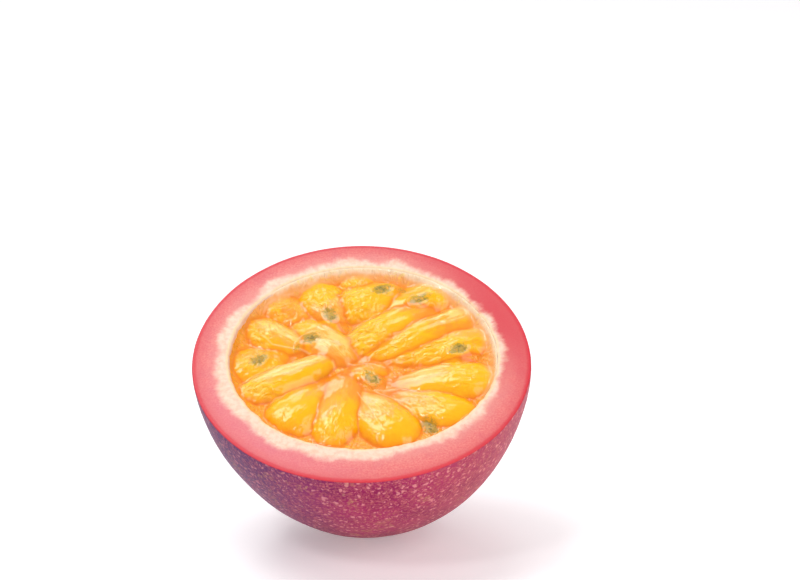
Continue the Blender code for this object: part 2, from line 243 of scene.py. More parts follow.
def noise(points, size, seed=0):
    """Smooth gradient noise from about -1 to 1, with features of this size, at flat or solid points."""
    points = np.asarray(points, float)
    if points.shape[1] == 2:
        points = np.column_stack([points, np.zeros(len(points))])
    scaled = points / size
    cells = np.floor(scaled).astype(np.int64)
    part = scaled - cells
    fade = part**3 * (part * (part * 6 - 15) + 10)
    total = np.zeros(len(points))
    for corner in itertools.product((0, 1), repeat=3):
        corner = np.array(corner)
        slope = (lattice_directions(cells + corner, seed) * (part - corner)).sum(1)
        total += slope * np.where(corner, fade, 1 - fade).prod(1)
    return total * 1.6


def layered_noise(points, size, seed=0, layers=3):
    """Noise with finer and weaker noise on top of it."""
    finer = (noise(points, size / 2**k, seed + 31 * k) / 2**k for k in range(layers))
    return sum(finer) / (2 - 2 ** (1 - layers))


def smooth_step(values, low, high):
    share = np.clip((values - low) / (high - low), 0, 1)
    return share * share * (3 - 2 * share)


# Shapes of the fruit

def swell(angle):
    """How much the fruit stands out at this angle round its axis beyond a perfectly round one."""
    return 1 + SWELL_TWO_SIDED * np.cos(2 * angle - 0.6) + SWELL_THREE_SIDED * np.cos(3 * angle + 1.1)


def shift(depth):
    """How far the fruit's axis has moved to the right at this depth below the cut plane."""
    return POLE_SHIFT * np.maximum(0.0, depth) / POLE_DEPTH


def narrowing(depth, whole_depth):
    """The share of its width on the cut plane that an outline of this whole depth still has at this depth."""
    return np.maximum(0.0, 1 - np.maximum(0.0, depth / whole_depth) ** FULLNESS) ** (1 / FULLNESS)


def scar_rise(radius):
    """How far the stem scar lifts the surface above the plain outline at this distance from the axis."""
    dimple = DIMPLE_DEPTH * (0.5 + 0.5 * np.cos(np.pi * np.minimum(1.0, radius / DIMPLE_RADIUS)))
    button = SCAR_HEIGHT * (0.5 + 0.5 * np.cos(np.pi * np.minimum(1.0, radius / SCAR_RADIUS)))
    return dimple - button


def cavity_edge(angle, depth=0.0):
    """Points of the cavity's wall at these angles, at this depth below the cut plane."""
    wide = narrowing(depth, CAVITY_DEPTH) * swell(angle)
    return CAVITY_CENTRE + np.column_stack(
        [CAVITY_RADIUS_X * wide * np.cos(angle) + shift(depth), CAVITY_RADIUS_Y * wide * np.sin(angle)]
    )


def fruit_frame():
    """The matrix from the fruit's own frame in metres to the row frame."""
    power = FULLNESS / (FULLNESS - 1)
    across, down = EQUATOR_RADIUS * math.sin(LEAN), POLE_DEPTH * math.cos(LEAN)
    lowest = (across**power + down**power) ** (1 / power)
    radius = EQUATOR_RADIUS * (across / lowest) ** (power - 1)
    depth = POLE_DEPTH * (down / lowest) ** (power - 1)
    back = radius * math.cos(LEAN) - depth * math.sin(LEAN)
    move = Matrix.Translation(Vector((-shift(depth), back, lowest - FLAT_SPOT_DEPTH)) * MM)
    return move @ Matrix.Rotation(LEAN, 4, "X")


def to_row(points):
    """Fruit frame points in millimetres, moved into the row frame in metres and kept above the floor."""
    matrix = np.array(fruit_frame())
    moved = points * MM @ matrix[:3, :3].T + matrix[:3, 3]
    moved[:, 2] = np.maximum(moved[:, 2], 0.0)
    return moved


def mesh_object(name, points, faces, attributes):
    """A smooth mesh in the row frame from fruit frame points, with an attribute for each name given."""
    mesh = bpy.data.meshes.new(name)
    mesh.from_pydata(to_row(points).tolist(), [], faces)
    mesh.validate()
    mesh.shade_smooth()
    attributes = dict(attributes, place=points)
    for key, values in attributes.items():
        kind, field = ("FLOAT_VECTOR", "vector") if np.ndim(values) == 2 else ("FLOAT", "value")
        layer = mesh.attributes.new(key, kind, "POINT")
        layer.data.foreach_set(field, np.ravel(values).astype(np.float32))
    made = bpy.data.objects.new(name, mesh)
    bpy.context.scene.collection.objects.link(made)
    return made


def ring_faces(rows, steps):
    """Quads between rows of points, where each row closes round the fruit."""
    faces = []
    for row in range(rows - 1):
        low, high = row * steps, (row + 1) * steps
        faces += [(low + k, low + (k + 1) % steps, high + (k + 1) % steps, high + k) for k in range(steps)]
    return faces


# The rind

def rind_rows(angle):
    """The rind's rows of points from the outer pole to the inner one, each with its attributes."""
    wide = swell(angle)
    round_about = np.column_stack([np.cos(angle), np.sin(angle)])

    def skin_row(below):
        radius = EQUATOR_RADIUS * math.cos(below) ** (2 / FULLNESS)
        depth = POLE_DEPTH * math.sin(below) ** (2 / FULLNESS)
        flat = round_about * (radius * wide)[:, None] + (shift(depth), 0)
        return np.column_stack([flat, np.full(len(angle), scar_rise(radius) - depth)])

    rows = []
    start = math.asin((RIM_ROUNDING / POLE_DEPTH) ** (FULLNESS / 2))
    for below in np.linspace(math.pi / 2 - OUTER_POLE_GAP, start, SKIN_ROWS):
        rows.append((skin_row(below), 1.0, 0.0, FAR_FROM_LIP))
    edge = round_about * ((EQUATOR_RADIUS - RIM_ROUNDING) * wide)[:, None]
    for turn in np.linspace(0, math.pi / 2, RIM_ROWS + 1)[1:]:
        out = round_about * (RIM_ROUNDING * math.cos(turn))
        height = RIM_ROUNDING * (math.sin(turn) - 1)
        points = np.column_stack([edge + out, np.full(len(angle), height)])
        rows.append((points, 1 - math.sin(turn), RIM_ROUNDING * (1 - math.cos(turn)), FAR_FROM_LIP))
    lip = cavity_edge(angle)
    inward = -(lip - CAVITY_CENTRE) / np.linalg.norm(lip - CAVITY_CENTRE, axis=1)[:, None]
    ragged = 0.2 * layered_noise(lip, 1.5, 11, 4)
    ragged += 0.3 * np.maximum(0, noise(lip, 2.6, 12) - 0.25)
    torn = np.exp(-(((np.degrees(angle) - TORN_MIDDLE) / TORN_WIDTH) ** 2))
    ragged += torn * (0.4 * np.maximum(0, noise(lip, 2.2, 13) + 0.2) + 0.08 * noise(lip, 0.5, 14))
    lip = lip + inward * ragged[:, None]
    face_end = lip - inward * LIP_ROUNDING
    for share in np.linspace(0, 1, FACE_ROWS + 1)[1:]:
        flat = edge + (face_end - edge) * share
        gone = np.linalg.norm(flat - edge, axis=1) + RIM_ROUNDING
        points = np.column_stack([flat, np.zeros(len(angle))])
        rows.append((points, 0.0, gone, np.linalg.norm(flat - lip, axis=1)))
    for turn in np.linspace(0, math.pi / 2, LIP_ROWS + 1)[1:]:
        flat = face_end + inward * (LIP_ROUNDING * math.sin(turn))
        height = LIP_ROUNDING * (math.cos(turn) - 1)
        gone = np.linalg.norm(flat - edge, axis=1) + RIM_ROUNDING
        points = np.column_stack([flat, np.full(len(angle), height)])
        rows.append((points, 0.0, gone, LIP_ROUNDING * (1 - math.sin(turn)) + height))
    bowl_start, bowl_end = math.asin(WALL_DEPTH / CAVITY_DEPTH), math.pi / 2 - INNER_POLE_GAP
    wall_depths = np.linspace(LIP_ROUNDING, WALL_DEPTH, WALL_ROWS + 1)[1:]
    bowl_depths = CAVITY_DEPTH * np.sin(np.linspace(bowl_start, bowl_end, BOWL_ROWS)[1:])
    depths = np.concatenate([wall_depths, bowl_depths])
    for depth in depths:
        fading = math.exp(-depth / RAGGED_DEPTH)
        flat = cavity_edge(angle, depth) + inward * (ragged * fading)[:, None]
        points = np.column_stack([flat, np.full(len(angle), -depth)])
        rows.append((points, 0.0, np.full(len(angle), FAR_FROM_EDGE), -depth))
    return rows


def make_rind():
    angle = np.linspace(0, 2 * math.pi, RIND_STEPS, endpoint=False)
    rows = rind_rows(angle)
    points = np.concatenate([row[0] for row in rows])
    skin, edge, lip = (
        np.concatenate([np.broadcast_to(row[k], len(angle)) for row in rows]) for k in (1, 2, 3)
    )
    faces = ring_faces(len(rows), len(angle))
    outer_pole, inner_pole = len(points), len(points) + 1
    last = (len(rows) - 1) * len(angle)
    for k in range(len(angle)):
        following = (k + 1) % len(angle)
        faces.append((outer_pole, following, k))
        faces.append((inner_pole, last + k, last + following))
    inner = CAVITY_CENTRE + (shift(CAVITY_DEPTH), 0)
    poles = np.array([(POLE_SHIFT, 0, scar_rise(0) - POLE_DEPTH), (*inner, -CAVITY_DEPTH)])
    points = np.concatenate([points, poles])
    skin, edge = np.append(skin, (1, 0)), np.append(edge, (0, FAR_FROM_EDGE))
    lip = np.append(lip, (FAR_FROM_LIP, -CAVITY_DEPTH))

    outward = points / np.linalg.norm(points, axis=1)[:, None]
    dents = 0.10 * noise(points, 9.0, 3) + 0.035 * layered_noise(points, 1.6, 4, 2) - 0.06
    points = points + outward * (dents * skin)[:, None]
    face = (1 - skin) * (lip > -0.5)
    waves = 0.07 * noise(points, 6.0, 6) + 0.02 * layered_noise(points, 0.9, 7, 3) - 0.05
    spongy = smooth_step(-lip, -2.2, -0.8) * (lip > -0.4)
    waves += spongy * (0.02 * noise(points, 0.55, 8) + 0.03 * np.abs(noise(points, 1.3, 9)))
    points[:, 2] += np.minimum(waves * face, 0.0)
    turn = np.arctan2(points[:, 1], points[:, 0])
    rays = np.column_stack([22 * np.cos(turn), 22 * np.sin(turn), 0.3 * edge])
    attributes = {"skin": skin, "from_edge": edge, "to_lip": lip, "rays": rays}
    rind = mesh_object("rind_with_pith", points, faces, attributes)
    rind.data.materials.append(rind_material())
    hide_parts("rind")
    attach(rind, "root")


# The pulp

def girth(along, plumpness):
    """A sac's half thickness, from 0 to 1, at places along it from -1 to 1. Its plump end is at 1."""
    power = abs(plumpness) * 1.4
    along = -along if plumpness < 0 else along
    widest = power / (1 + power)
    full = (1 - widest**SAC_BLUNTNESS) ** (1 / SAC_BLUNTNESS) * ((1 + widest) / 2) ** power
    ends = np.maximum(0, 1 - np.abs(along) ** SAC_BLUNTNESS) ** (1 / SAC_BLUNTNESS)
    return ends * (np.maximum(0, 1 + along) / 2) ** power / full


def packed(sac):
    """A big sac, pressed out against its neighbours: wider, and reaching further at both ends."""
    outer, inner, width, height, below, plumpness, bow = sac
    inward = np.array(inner) - np.array(outer)
    outer, inner = outer - inward * OUTER_REACH, inner + inward * INNER_REACH
    return outer, inner, width * SAC_SPREAD, height, below, plumpness, bow


def on_sac(sac, flat):
    """Where points of the cut plane lie on a sac: along it, across it in millimetres, how far towards its
    upper left as the camera sees it (from -1 to 1), and the sac's height there."""
    outer, inner, width, height, below, plumpness, bow = sac
    outer, inner = np.array(outer), np.array(inner)
    length = np.linalg.norm(outer - inner)
    way = (outer - inner) / length
    side = np.array([-way[1], way[0]])
    along = (flat - inner) @ way / length * 2 - 1
    held = np.clip(along, -1, 1)
    across = (flat - inner) @ side - bow * (1 - held**2)
    level = -(below[1] + (below[0] - below[1]) * (held + 1) / 2) - height / 2
    thick = girth(held, plumpness)
    aside = np.hypot(across / (width / 2), np.maximum(0, np.abs(along) - 1) * length / width)
    inside = np.maximum(0, thick**SAC_ROUNDNESS - aside**SAC_ROUNDNESS) ** (1 / SAC_ROUNDNESS)
    outside = np.maximum(0, aside - thick)
    lit = across / (width / 2) * (side @ LIT_SIDE)
    return along, across, lit, level + height / 2 * inside - 5.0 * outside


def small_sacs():
    """The bed's small sacs, in the same form as the big ones."""
    draw = np.random.default_rng(7)
    for index in range(SMALL_SACS):
        reach = math.sqrt((index + 0.5) / SMALL_SACS) * 0.95
        angle = index * GOLDEN_ANGLE + draw.uniform(-0.15, 0.15)
        wall = np.array([math.cos(angle) * CAVITY_RADIUS_X, math.sin(angle) * CAVITY_RADIUS_Y])
        centre = CAVITY_CENTRE + wall * reach
        heading = angle + draw.uniform(-0.5, 0.5)
        half = np.array([math.cos(heading), math.sin(heading)]) * draw.uniform(2.5, 3.5)
        crest, width = draw.uniform(2.7, 3.6), draw.uniform(3.4, 4.4)
        yield (centre + half, centre - half, width, width, (crest, crest), 0.2, 0.0)


def disc_points(count):
    """A square grid drawn out into an even disc of radius 1, row by row."""
    side = np.linspace(-1, 1, count)
    across, up = (grid.ravel() for grid in np.meshgrid(side, side))
    wide = np.abs(across) > np.abs(up)
    reach = np.where(wide, across, up)
    with np.errstate(divide="ignore", invalid="ignore"):
        turn = np.where(wide, np.pi / 4 * up / across, np.pi / 2 - np.pi / 4 * across / up)
    turn = np.nan_to_num(turn)
    return np.column_stack([reach * np.cos(turn), reach * np.sin(turn)])


def gap_to_wall(flat):
    """How far points of the cut plane are from the cavity's wall."""
    off = flat - CAVITY_CENTRE
    angle = np.arctan2(off[:, 1] / CAVITY_RADIUS_Y, off[:, 0] / CAVITY_RADIUS_X)
    edge = cavity_edge(angle) - CAVITY_CENTRE
    return np.linalg.norm(edge, axis=1) - np.linalg.norm(off, axis=1)


def far_side(flat):
    """How far points of the cut plane lie towards the far and right side of the cavity, from 0 to 1."""
    off = flat - CAVITY_CENTRE
    toward = off @ FAR_RIGHT / np.maximum(np.linalg.norm(off, axis=1), 1e-6)
    return smooth_step(toward, -0.15, 0.6)


def near_thread(flat):
    """How close points of the cut plane are to the threads of membrane, from 0 to 1."""
    close = np.zeros(len(flat))
    for line in THREADS:
        line = np.array(line)
        for start, end in zip(line, line[1:]):
            share = np.clip((flat - start) @ (end - start) / ((end - start) @ (end - start)), 0, 1)
            gone = np.linalg.norm(flat - start - share[:, None] * (end - start), axis=1)
            close = np.maximum(close, np.exp(-((gone / THREAD_WIDTH) ** 2)))
    return close


def sac_surface(flat):
    """The height of the sacs and the bed at points of the cut plane, with what their colours need to know."""
    count = len(flat)
    warp = np.column_stack([layered_noise(flat, SAC_WARP_SIZE, seed, 2) for seed in (21, 22)]) * SAC_WARP
    heights, facts = [], []
    for index, (name, sac) in enumerate(SACS.items()):
        along, across, lit, height = on_sac(packed(sac), flat + warp)
        golden, film_and_sheen, crinkle = SAC_LOOKS[name]
        local = np.column_stack([along * 6 + index * 37, across, np.full(count, index * 11.0)])
        wander = along + 0.4 * layered_noise(local * (0.5, 1, 1), 1.7, 100 + index, 3)
        wet = crinkle[2] * smooth_step(-np.abs(wander - crinkle[0]), -crinkle[1] * 1.5, -crinkle[1] * 0.5)
        folds = np.abs(layered_noise(local, CRINKLE_SIZE, 40 + index, 2))
        fibres = noise(local * (0.2, 1.8, 1), 1.0, 60 + index)
        dents = noise(local * (0.5, 0.8, 1), 1.8, 20 + index)
        height = height + FIBRE_RISE * fibres + DENT_RISE * dents + CRINKLE_RISE * wet * (folds - 0.3)
        # The pale film on the lit upper left of the crest: partly the membrane's own colour, partly a painted
        # reflection of the lights
        film = film_and_sheen[2] * smooth_step(lit, -0.45, 0.15)
        film = film * smooth_step(-np.abs(across), -sac[2] * 0.435, -sac[2] * 0.26)
        film = film * smooth_step(-np.abs(wander - film_and_sheen[0]), -film_and_sheen[1] * 1.25, -film_and_sheen[1] * 0.7)
        gold = golden[0] + (golden[1] - golden[0]) * smooth_step(wander, -0.5, 0.5)
        heights.append(height)
        facts.append((gold, film, wet, local))
    jelly = WALL_JELLY + (FAR_WALL_JELLY - WALL_JELLY) * far_side(flat)
    bed = BED_LEVEL + jelly * np.exp(-np.maximum(gap_to_wall(flat), 0) / JELLY_WIDTH)
    bed = bed + 0.4 * layered_noise(flat, 2.0, 80, 3)
    for sac in small_sacs():
        bed = np.maximum(bed, on_sac(sac, flat + warp * 1.5)[3])
    heights.append(bed)
    place = np.column_stack([flat * 1.5, np.full(count, 500.0)])
    facts.append((np.full(count, 0.15), np.full(count, 0.05), np.full(count, 0.6), place))
    heights = np.array(heights)
    order = np.argsort(-heights, axis=0)
    top, second = (np.take_along_axis(heights, order[k : k + 1], 0)[0] for k in (0, 1))
    joined = top + np.log(np.exp(JOIN_SHARPNESS * np.maximum(heights - top, -60)).sum(0)) / JOIN_SHARPNESS
    gap = top - second
    # Painted shade: how near a point is to a crease between sacs, which the pulp's material colours deeper
    # orange
    crease_shade = 0.35 * np.exp(-gap / CREASE_SHADE_WIDTH) + 0.65 * np.exp(-gap / (CREASE_SHADE_WIDTH * 5))
    picked = [np.choose(order[0], [fact[k] for fact in facts]) for k in range(3)]
    local = np.stack([fact[3] for fact in facts])[order[0], np.arange(count)]
    return joined, crease_shade, picked, local, smooth_step(gap, 0.3, 0.9)


def on_seed(place, heading, flat):
    """Where points of the cut plane lie on a seed, as its distance from the middle: 1 is the seed's edge."""
    turn = math.radians(heading)
    off = flat - np.array(place)
    along = off @ np.array([math.cos(turn), math.sin(turn)]) / (SEED_LENGTH / 2)
    across = off @ np.array([-math.sin(turn), math.cos(turn)]) / (SEED_WIDTH / 2)
    return np.hypot(along, across)


def seed_shade(reach):
    """How much a seed darkens the pulp at this distance from its middle, from 0 to 1."""
    return np.exp(-(reach**2.4) * 1.8)


def seed_level(place):
    """The height of the film that covers the top of the seed at this place."""
    around = np.array(place) + [(0, 0), (0.7, 0), (-0.7, 0), (0, 0.7), (0, -0.7)]
    return sac_surface(around)[0].max()


def pulp_surface(flat):
    """The sac surface, raised to a film over the seeds, and how dark the seeds make it."""
    height, crease_shade, picked, local, settled = sac_surface(flat)
    shade = np.zeros(len(flat))
    for place, heading in SEEDS.values():
        reach = on_seed(place, heading, flat)
        film = seed_level(place) - 0.12 * reach**2 - 1.5 * np.maximum(0, reach - 0.8)
        height = np.where(reach < 2, np.maximum(height, film), height)
        shade = np.maximum(shade, seed_shade(reach))
    for place, size, depth in FAINT_SEEDS:
        reach = np.linalg.norm((flat - np.array(place)) / size, axis=1)
        shade = np.maximum(shade, depth * np.exp(-(reach**2.4)))
    return height, crease_shade, picked, local, settled, shade


def make_pulp():
    disc = disc_points(PULP_GRID)
    reach = np.linalg.norm(disc, axis=1)
    angle = np.arctan2(disc[:, 1], disc[:, 0])
    wide = (cavity_edge(angle) - CAVITY_CENTRE) * ((1 + WALL_OVERLAP / CAVITY_RADIUS_X) * reach)[:, None]
    flat = CAVITY_CENTRE + wide
    height, crease_shade, (gold, film_and_sheen, wet), local, settled, shade = pulp_surface(flat)
    threads = near_thread(flat)
    from_wall = (1 - reach) * CAVITY_RADIUS_Y
    lining = np.exp(-from_wall / LINING_WIDTH) * (0.15 + 0.85 * far_side(flat))
    height = np.minimum(height + 0.3 * np.exp(-from_wall / 0.35) + THREAD_RISE * threads, -0.15)
    flat_in = CAVITY_CENTRE + wide * (1 - (1 - narrowing(-height, CAVITY_DEPTH)) * reach**6)[:, None]
    top = np.column_stack([flat_in, height])

    n = PULP_GRID
    faces = [
        (row * n + k, row * n + k + 1, (row + 1) * n + k + 1, (row + 1) * n + k)
        for row in range(n - 1)
        for k in range(n - 1)
    ]
    border = [
        *range(n - 1),
        *range(n - 1, n * n - 1, n),
        *range(n * n - 1, n * (n - 1), -1),
        *range(n * (n - 1), 0, -n),
    ]
    rows = [np.array(border)]
    points = [top]
    start = len(top)
    edge_angle = angle[border]
    for row in range(1, UNDERSIDE_ROWS + 1):
        down = math.sin(math.pi / 2 * row / (UNDERSIDE_ROWS + 0.2))
        depth = -height[border] + (CAVITY_DEPTH * 0.98 + height[border]) * down
        middle = CAVITY_CENTRE + np.column_stack([shift(depth), np.zeros(len(depth))])
        ring = middle + (cavity_edge(edge_angle, depth) - middle) * 0.985
        points.append(np.column_stack([ring, -depth]))
        rows.append(start + np.arange(len(border)))
        start += len(border)
    for upper, lower in zip(rows, rows[1:]):
        faces += [
            (upper[k], lower[k], lower[(k + 1) % len(border)], upper[(k + 1) % len(border)])
            for k in range(len(border))
        ]
    points.append(np.array([(*(CAVITY_CENTRE + (shift(CAVITY_DEPTH), 0)), -CAVITY_DEPTH * 0.985)]))
    faces += [(rows[-1][k], start, rows[-1][(k + 1) % len(border)]) for k in range(len(border))]
    points = np.concatenate(points)
    hidden = len(points) - len(top)

    def padded(values):
        return np.concatenate([values, np.zeros((hidden,) + values.shape[1:])])

    attributes = {
        "crease_shade": crease_shade,
        "gold": gold,
        "film_and_sheen": film_and_sheen,
        "wet": wet,
        "shade": shade,
        "thread": threads,
        "settled": settled,
        "lining": lining,
        "sac_place": local,
        "from_wall": from_wall,
    }
    attributes = {name: padded(values) for name, values in attributes.items()}
    pulp = mesh_object("pulp_sacs", points, [tuple(int(i) for i in face) for face in faces], attributes)
    pulp.data.materials.append(pulp_material())
    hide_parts("pulp")
    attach(pulp, "root")


def make_seed(name, place, heading):
    """A flat seed with a pitted skin, whose top is just clear of the film over it."""
    up = np.linspace(0, math.pi, SEED_RINGS + 1)[1:-1]
    round_about = np.linspace(0, 2 * math.pi, SEED_SEGMENTS, endpoint=False)
    unit = np.array(
        [(math.cos(a), math.sin(a) * math.cos(b), math.sin(a) * math.sin(b)) for a in up for b in round_about]
        + [(1, 0, 0), (-1, 0, 0)]
    )
    pits = 1 - 0.05 * np.abs(noise(unit, 0.28, 90)) - 0.02 * noise(unit, 0.12, 91)
    unit = unit * pits[:, None]
    narrower = 1 + SEED_TAPER * unit[:, 0]
    shaped = np.column_stack(
        [
            unit[:, 0] * SEED_LENGTH / 2,
            unit[:, 1] * SEED_WIDTH / 2 * narrower,
            unit[:, 2] * SEED_THICKNESS / 2,
        ]
    )
    turn = math.radians(heading)
    turned = shaped @ np.array(
        [[math.cos(turn), math.sin(turn), 0], [-math.sin(turn), math.cos(turn), 0], [0, 0, 1]]
    )
    points = turned + np.array([*place, seed_level(place) + SEED_PROUD - SEED_THICKNESS / 2])
    shade = seed_shade(on_seed(place, heading, points[:, :2]))
    rows = SEED_RINGS - 1
    faces = ring_faces(rows, SEED_SEGMENTS)
    first, last = len(points) - 2, len(points) - 1
    for k in range(SEED_SEGMENTS):
        following = (k + 1) % SEED_SEGMENTS
        faces.append((first, following, k))
        faces.append((last, (rows - 1) * SEED_SEGMENTS + k, (rows - 1) * SEED_SEGMENTS + following))
    seed = mesh_object(name + "_skin", points, faces, {"shade": shade})
    seed.data.materials.append(seed_material())
    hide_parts(name)
    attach(seed, "root")


# Materials

class Graph:
    """A material's node tree, with short ways to add nodes to it."""

    def __init__(self, name):
        self.material = bpy.data.materials.new(name)
        self.material.use_nodes = True
        self.tree = self.material.node_tree
        self.shader = self.tree.nodes["Principled BSDF"]

    def node(self, kind, inputs=(), **settings):
        made = self.tree.nodes.new(kind)
        for key, value in settings.items():
            setattr(made, key, value)
        for key, value in dict(inputs).items():
            self.put(made.inputs[key], value)
        return made

    def put(self, socket, value):
        if isinstance(value, bpy.types.NodeSocket):
            self.tree.links.new(value, socket)
        else:
            socket.default_value = value

    def shade(self, **values):
        """Sets the shader's sockets, named with underscores for spaces."""
        for key, value in values.items():
            self.put(self.shader.inputs[key.replace("_", " ")], value)

    def value(self, name):
        return self.node("ShaderNodeAttribute", attribute_name=name).outputs["Fac"]

    def vector(self, name, scale=(1, 1, 1)):
        read = self.node("ShaderNodeAttribute", attribute_name=name).outputs["Vector"]
        return self.node("ShaderNodeVectorMath", {0: read, 1: scale}, operation="MULTIPLY").outputs[0]

    def math(self, operation, first, second):
        return self.node("ShaderNodeMath", {0: first, 1: second}, operation=operation).outputs[0]

    def times(self, first, second):
        return self.math("MULTIPLY", first, second)

    def plus(self, first, second):
        return self.math("ADD", first, second)

    def noise(self, vector, scale, detail=3.0, roughness=0.55, distortion=0.0):
        inputs = {"Vector": vector, "Scale": scale, "Detail": detail}
        inputs.update({"Roughness": roughness, "Distortion": distortion})
        return self.node("ShaderNodeTexNoise", inputs).outputs["Fac"]

    def swing(self, *settings):
        """Noise that runs from about -0.5 to 0.5."""
        return self.math("SUBTRACT", self.noise(*settings), 0.5)

    def cells(self, vector, scale):
        return self.node("ShaderNodeTexVoronoi", {"Vector": vector, "Scale": scale})

    def spread(self, value, low, high, new_low=0.0, new_high=1.0):
        """A value moved smoothly from one range to another."""
        inputs = {"Value": value, "From Min": low, "From Max": high, "To Min": new_low, "To Max": new_high}
        return self.node("ShaderNodeMapRange", inputs, interpolation_type="SMOOTHSTEP").outputs["Result"]

    def mix(self, share, first, second):
        node = self.node("ShaderNodeMix", data_type="RGBA")
        self.put(node.inputs["Factor"], share)
        for socket, value in zip([s for s in node.inputs if s.type == "RGBA"], (first, second)):
            self.put(socket, value)
        return [s for s in node.outputs if s.type == "RGBA"][0]

    def bump(self, height, distance, strength, under=None):
        inputs = {"Height": height, "Distance": distance * MM, "Strength": strength}
        if under is not None:
            inputs["Normal"] = under
        return self.node("ShaderNodeBump", inputs).outputs["Normal"]


def colour(red, green, blue):
    """A colour as seen on a screen, from 0 to 255, as the shader's linear values."""

    def linear(value):
        return ((value / 255 + 0.055) / 1.055) ** 2.4 if value > 10 else value / 3295

    return linear(red), linear(green), linear(blue), 1.0


def skin_colour(g, place):
    """The skin: magenta, greyish purple and painted sheen at the left, redder at the right, beige-pink
    specks.
    """
    patches = g.noise(place, 0.11, 4, 0.6)
    side = g.node("ShaderNodeSeparateXYZ", {0: place}).outputs["X"]
    leftward, rightward = g.spread(side, 2.0, -22.0), g.spread(side, 4.0, 20.0)
    ground = g.mix(g.spread(patches, 0.35, 0.65), colour(138, 14, 76), colour(168, 34, 92))
    # Greyish purple towards the left: partly the skin's own colour, partly a painted sheen
    ground = g.mix(g.times(leftward, 0.92), ground, colour(70, 32, 90))
    wander = g.node("ShaderNodeTexNoise", {"Vector": place, "Scale": 1.3, "Detail": 2.0}).outputs["Color"]
    warped = g.node("ShaderNodeVectorMath", {0: place, 1: wander}, operation="ADD").outputs[0]
    dapples = g.noise(warped, 1.9, 3, 0.7)
    ground = g.mix(g.spread(dapples, 0.42, 0.68), ground, colour(177, 82, 91))
    for scale, size, tint, share in (
        (1.2, 0.46, colour(220, 138, 142), 0.85),
        (2.0, 0.50, colour(204, 104, 112), 0.6),
        (0.95, 0.20, colour(208, 150, 118), 0.5),
    ):
        spots = g.cells(warped, scale)
        pick = g.node("ShaderNodeSeparateColor", {0: spots.outputs["Color"]}).outputs[0]
        reach = g.times(pick, size)
        near = g.math("SUBTRACT", reach, spots.outputs["Distance"])
        ground = g.mix(g.times(g.spread(near, -0.08, 0.12), share), ground, tint)
    tan = g.times(g.spread(g.noise(place, 0.22, 3, 0.6), 0.58, 0.72), g.spread(dapples, 0.4, 0.6))
    ground = g.mix(g.times(tan, 0.7), ground, colour(182, 130, 86))
    # More greyish purple towards the left: partly the skin's own colour, partly a painted sheen
    ground = g.mix(g.times(leftward, 0.5), ground, colour(90, 54, 102))
    return g.mix(g.times(rightward, 0.22), ground, colour(208, 104, 92))


def rind_material():
    g = Graph("rind_flesh_and_skin")
    place, rays = g.vector("place"), g.vector("rays")
    skin, edge, lip = g.value("skin"), g.value("from_edge"), g.value("to_lip")
    across = g.node("ShaderNodeSeparateXYZ", {0: place})
    side, back = across.outputs["X"], across.outputs["Y"]

    ragged = g.swing(rays, 0.5, 6, 0.72)
    lumpy = g.swing(place, 1.1, 4, 0.6)
    broad = g.swing(place, 0.13, 2)
    near_left = g.times(g.spread(side, 6.0, -14.0), g.spread(back, 4.0, -16.0))
    border = g.plus(lip, g.plus(g.times(ragged, 2.0), g.times(lumpy, 0.8)))
    border = g.plus(border, g.times(broad, 4.2))
    border = g.math("SUBTRACT", border, g.times(near_left, 0.8))
    flushed = g.times(g.spread(side, 2.0, 22.0), g.spread(back, -14.0, 8.0))
    border = g.plus(border, g.times(flushed, 0.8))
    pith = g.spread(border, 2.6, 1.1)
    mottle = g.noise(place, 3.2, 4, 0.65)
    clouds = g.noise(place, 0.35, 3)
    rosy = g.mix(g.spread(mottle, 0.3, 0.7), colour(218, 97, 98), colour(226, 130, 123))
    rosy = g.mix(g.spread(clouds, 0.4, 0.75, 0.0, 0.35), rosy, colour(206, 84, 104))
    rosy = g.mix(g.spread(lip, 4.2, 1.8, 0.0, 0.45), rosy, colour(226, 156, 144))
    rosy = g.mix(g.times(flushed, 0.9), rosy, colour(206, 50, 64))
    rosy = g.mix(g.times(near_left, 0.45), rosy, colour(218, 118, 134))
    rosy = g.mix(g.spread(edge, 2.6, 0.4, 0.0, 0.5), rosy, colour(208, 76, 80))
    cream = g.mix(g.spread(g.noise(place, 1.2, 4), 0.35, 0.7), colour(239, 209, 188), colour(233, 188, 162))
    veins = g.spread(g.noise(place, 0.8, 2), 0.7, 0.77)
    cream = g.mix(g.times(veins, 0.7), cream, colour(228, 124, 118))
    inner_lip = g.times(g.spread(lip, 0.75, 0.35), g.spread(lip, -0.1, 0.2))
    cream = g.mix(g.times(inner_lip, 0.5), cream, colour(244, 212, 150))
    inside = g.spread(g.plus(lip, g.times(lumpy, 1.4)), -1.2, -3.0)
    cream = g.mix(inside, cream, colour(232, 160, 86))
    flesh = g.mix(pith, rosy, cream)
    line = g.spread(g.plus(edge, g.times(lumpy, 0.4)), 0.95, 0.4)
    flesh = g.mix(g.times(line, 0.8), flesh, colour(206, 28, 52))
    whole = g.mix(g.spread(skin, 0.35, 0.75), flesh, skin_colour(g, place))

    pores = g.cells(place, 1.9).outputs["Distance"]
    fine = g.noise(place, 4.0, 4, 0.6)
    normal = g.bump(g.times(pores, skin), 0.12, 0.3)
    normal = g.bump(fine, 0.08, 0.45, normal)
    g.shade(Base_Color=whole, Normal=normal)
    g.shade(Roughness=g.spread(skin, 0.2, 0.8, 0.45, 0.5))
    g.shade(Subsurface_Weight=g.times(g.spread(skin, 0.2, 0.8, 0.4, 0.0), g.spread(lip, 0.0, 1.6)))
    g.shade(Subsurface_Radius=(1.0, 0.35, 0.35), Subsurface_Scale=0.8 * MM)
    g.shade(Specular_IOR_Level=g.spread(skin, 0.2, 0.8, 0.4, 0.15))
    return g.material


